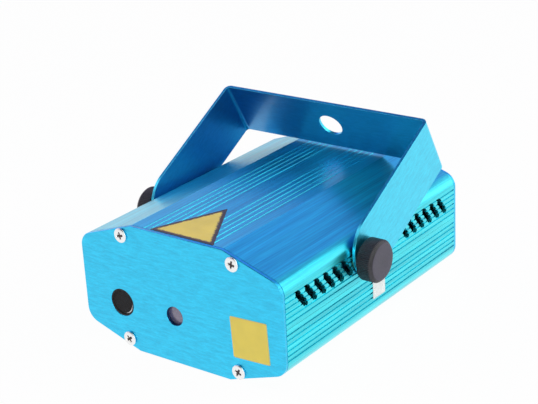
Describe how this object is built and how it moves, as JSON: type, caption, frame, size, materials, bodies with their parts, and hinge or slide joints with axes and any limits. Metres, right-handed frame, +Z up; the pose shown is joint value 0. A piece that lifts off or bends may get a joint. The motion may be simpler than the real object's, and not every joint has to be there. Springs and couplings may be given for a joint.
{
  "type": "laser show projector",
  "caption": "Small stage laser projector: blue anodised octagonal housing with side vents, sound sensor and beam window, on a tilting bracket with knurled knobs.",
  "frame": {"origin": "middle of the housing's flat bottom", "axes": "+X to the right seen from the front, +Y towards the rear, +Z up"},
  "size_m": [0.112, 0.1316, 0.0742],
  "materials": {
    "housing_blue": "blue anodised, drawn along its length",
    "plate_blue": "sky blue anodised, finely brushed across",
    "bracket_blue": "blue anodised strip, brushed along",
    "knob_black": "charcoal moulding, knurled",
    "washer_black": "black rubber",
    "screw_steel": "bright plated steel",
    "insert_brass": "turned brass",
    "grommet_rubber": "black rubber",
    "microphone_metal": "dark can with a felt face",
    "holder_black": "black moulding",
    "window_glass": "coated glass, purple grey",
    "grating_film": "clear embossed film",
    "bare_aluminium": "milled, bare",
    "gear_white": "natural white moulding",
    "motor_steel": "plated steel can",
    "laser_brass": "turned brass",
    "fold_mirror": "front silvered",
    "board_green": "green solder mask",
    "chip_black": "black moulded",
    "capacitor_sleeve": "dark blue sleeve",
    "connector_white": "white moulding",
    "fan_black": "black moulding",
    "jack_black": "black moulding",
    "switch_black": "black moulding",
    "sticker_yellow": "yellow film with a dark edge",
    "sticker_white": "plain white film"
  },
  "bodies": {
    "housing": {"upper_shell": "housing_blue", "lower_shell": "housing_blue", "front_plate": "plate_blue", "rear_plate": "plate_blue", "front_screws": "screw_steel", "rear_screws": "screw_steel", "pivot_inserts": "insert_brass", "microphone_grommet": "grommet_rubber", "microphone": "microphone_metal", "window_holder": "holder_black", "aperture_window": "window_glass", "fixed_grating": "grating_film", "optics_plate": "bare_aluminium", "drive_motor": "motor_steel", "motor_screws": "screw_steel", "laser_block": "bare_aluminium", "clamp_screws": "screw_steel", "green_laser": "laser_brass", "red_laser": "laser_brass", "combiner_mount": "bare_aluminium", "combiner_plate": "window_glass", "fold_mirror": "fold_mirror", "base_screws": "screw_steel", "main_board": "board_green", "board_chips": "chip_black", "board_capacitors": "capacitor_sleeve", "board_connectors": "connector_white", "fan_frame": "fan_black", "fan_screws": "screw_steel", "power_jack": "jack_black", "switch_body": "switch_black", "speed_control": "motor_steel", "control_nut": "screw_steel", "front_sticker": "sticker_yellow", "top_sticker": "sticker_yellow", "side_sticker": "sticker_white"},
    "bracket": {"bracket": "bracket_blue"},
    "right_washer": {"right_washer": "washer_black"},
    "right_knob": {"right_knob": "knob_black", "right_stud": "screw_steel"},
    "left_washer": {"left_washer": "washer_black"},
    "left_knob": {"left_knob": "knob_black", "left_stud": "screw_steel"},
    "grating": {"grating_gear": "gear_white", "grating_disc": "grating_film", "gear_retainer": "gear_white"},
    "pinion": {"drive_pinion": "gear_white", "motor_shaft": "screw_steel"},
    "fan_rotor": {"fan_rotor": "fan_black"},
    "rocker": {"switch_rocker": "switch_black"},
    "dial": {"speed_dial": "knob_black", "control_spindle": "screw_steel"}
  },
  "joints": [
    {"name": "bracket_tilt", "type": "hinge", "parent": "housing", "child": "bracket", "pos_m": [0, -0.0106, 0.0349], "axis": [1, 0, 0], "range_deg": [0, 160]},
    {"name": "right_knob_travel", "type": "slide", "parent": "housing", "child": "right_washer", "axis": [1, 0, 0], "range_m": [0, 0.0016]},
    {"name": "right_knob_turn", "type": "hinge", "parent": "right_washer", "child": "right_knob", "pos_m": [0, -0.0106, 0.0349], "axis": [1, 0, 0], "range_deg": [0, 720.5]},
    {"name": "left_knob_travel", "type": "slide", "parent": "housing", "child": "left_washer", "axis": [-1, 0, 0], "range_m": [0, 0.0016]},
    {"name": "left_knob_turn", "type": "hinge", "parent": "left_washer", "child": "left_knob", "pos_m": [0, -0.0106, 0.0349], "axis": [-1, 0, 0], "range_deg": [0, 720.5]},
    {"name": "grating_spin", "type": "hinge", "parent": "housing", "child": "grating", "pos_m": [-0.0029, -0.0485, 0.0192], "axis": [0, 1, 0], "continuous": true},
    {"name": "pinion_spin", "type": "hinge", "parent": "housing", "child": "pinion", "pos_m": [-0.0029, -0.0485, 0.0349], "axis": [0, 1, 0], "continuous": true},
    {"name": "fan_spin", "type": "hinge", "parent": "housing", "child": "fan_rotor", "pos_m": [0.018, 0.054, 0.0255], "axis": [0, 1, 0], "continuous": true},
    {"name": "mode_rocker", "type": "hinge", "parent": "housing", "child": "rocker", "pos_m": [-0.03, 0.05952, 0.03444], "axis": [1, 0, 0], "range_deg": [-18, 0]},
    {"name": "speed_turn", "type": "hinge", "parent": "housing", "child": "dial", "pos_m": [-0.008, 0.066, 0.0255], "axis": [0, 1, 0], "range_deg": [-150, 150]}
  ],
  "couplings": [
    {"joint": "right_knob_turn", "follows": "right_knob_travel", "rad_per_m": 7854},
    {"joint": "left_knob_turn", "follows": "left_knob_travel", "rad_per_m": 7854},
    {"joint": "pinion_spin", "follows": "grating_spin", "ratio": -3.3333}
  ]
}
